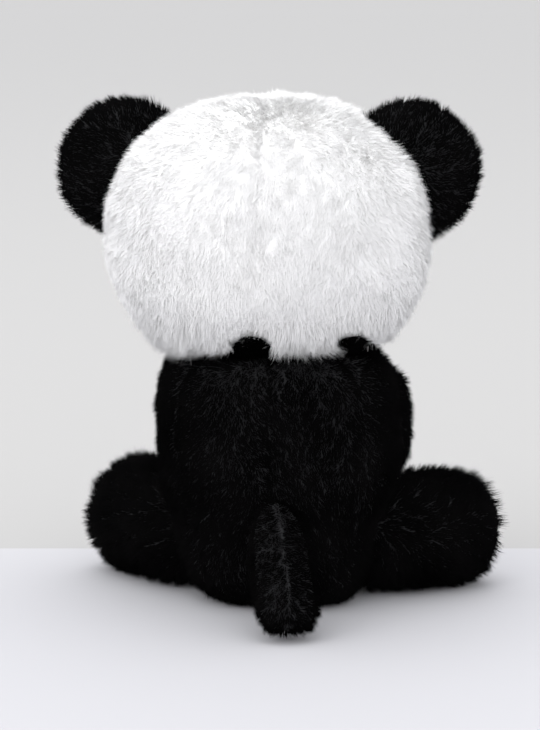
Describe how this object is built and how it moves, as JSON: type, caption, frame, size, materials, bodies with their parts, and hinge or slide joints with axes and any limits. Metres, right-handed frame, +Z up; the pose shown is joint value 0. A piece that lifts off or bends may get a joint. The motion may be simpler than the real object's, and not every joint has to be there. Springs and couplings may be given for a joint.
{
  "type": "plush panda",
  "caption": "Sitting plush bear toy with black limbs, ears and tail, a white head and belly, stuffed and weighted at the seat.",
  "frame": {"origin": "on the surface it sits on, at the centre of the seat", "axes": "+Z up, face toward -Y, the toy's left side at +X"},
  "size_m": [0.2359, 0.1887, 0.277],
  "materials": {
    "white_fur": "long soft pile",
    "black_fur": "long soft pile",
    "pad_plush": "short pile",
    "stuffing": "loose fibre",
    "pouch": "plain weave over pellets",
    "eye_plastic": "gloss",
    "washer_plastic": "matt",
    "thread": "satin stitch"
  },
  "bodies": {
    "torso": {"back_panel_left": "black_fur", "side_panel_left": "black_fur", "back_panel_right": "black_fur", "side_panel_right": "black_fur", "belly_panel": "white_fur", "seat_panel": "black_fur", "torso_stuffing": "stuffing", "pellet_pouch": "pouch"},
    "neck": {"neck_stuffing": "stuffing"},
    "head": {"head_back_left": "white_fur", "eye_patch_left": "black_fur", "safety_eye_left": "eye_plastic", "eye_washer_left": "washer_plastic", "head_back_right": "white_fur", "eye_patch_right": "black_fur", "safety_eye_right": "eye_plastic", "eye_washer_right": "washer_plastic", "face_panel": "white_fur", "head_stuffing": "stuffing", "muzzle_panel": "white_fur", "muzzle_stuffing": "stuffing", "nose": "thread"},
    "ear_left": {"ear_back_left": "black_fur", "ear_front_left": "black_fur", "ear_wadding_left": "stuffing"},
    "arm_left": {"arm_outer_left": "black_fur", "arm_inner_left": "black_fur", "arm_stuffing_left": "stuffing"},
    "leg_left": {"leg_outer_left": "black_fur", "leg_inner_left": "black_fur", "leg_stuffing_left": "stuffing", "foot_sole_left": "pad_plush"},
    "ear_right": {"ear_back_right": "black_fur", "ear_front_right": "black_fur", "ear_wadding_right": "stuffing"},
    "arm_right": {"arm_outer_right": "black_fur", "arm_inner_right": "black_fur", "arm_stuffing_right": "stuffing"},
    "leg_right": {"leg_outer_right": "black_fur", "leg_inner_right": "black_fur", "leg_stuffing_right": "stuffing", "foot_sole_right": "pad_plush"},
    "tail": {"tail_panel_left": "black_fur", "tail_panel_right": "black_fur", "tail_stuffing": "stuffing"}
  },
  "joints": [
    {"name": "neck_turn", "type": "hinge", "parent": "torso", "child": "neck", "pos_m": [0.003, -0.003, 0.158], "axis": [0, 0, 1], "range_deg": [-25, 25]},
    {"name": "neck_nod", "type": "hinge", "parent": "neck", "child": "head", "pos_m": [0.003, -0.003, 0.158], "axis": [1, 0, 0], "range_deg": [-6, 6]},
    {"name": "ear_fold_left", "type": "hinge", "parent": "head", "child": "ear_left", "pos_m": [0.083, -0.006, 0.235], "axis": [-0.5008, 0, 0.8656], "range_deg": [-20, 20], "stiffness_Nm_per_rad": 0.02},
    {"name": "shoulder_left", "type": "hinge", "parent": "torso", "child": "arm_left", "pos_m": [0.05054, -0.03599, 0.107], "axis": [-0.7547, 0.6561, 0], "range_deg": [-12, 75]},
    {"name": "hip_left", "type": "hinge", "parent": "torso", "child": "leg_left", "pos_m": [0.049, -0.017, 0.03], "axis": [0, 0, 1], "range_deg": [-12, 15]},
    {"name": "ear_fold_right", "type": "hinge", "parent": "head", "child": "ear_right", "pos_m": [-0.071, -0.006, 0.235], "axis": [0.5008, 0, 0.8656], "range_deg": [-20, 20], "stiffness_Nm_per_rad": 0.02},
    {"name": "shoulder_right", "type": "hinge", "parent": "torso", "child": "arm_right", "pos_m": [-0.05054, -0.03599, 0.107], "axis": [-0.7547, -0.6561, 0], "range_deg": [-12, 75]},
    {"name": "hip_right", "type": "hinge", "parent": "torso", "child": "leg_right", "pos_m": [-0.049, -0.017, 0.03], "axis": [0, 0, -1], "range_deg": [-12, 15]},
    {"name": "tail_lift", "type": "hinge", "parent": "torso", "child": "tail", "pos_m": [-0.005, 0.053, 0.057], "axis": [0.9659, 0.2588, 0], "range_deg": [0, 45]}
  ]
}
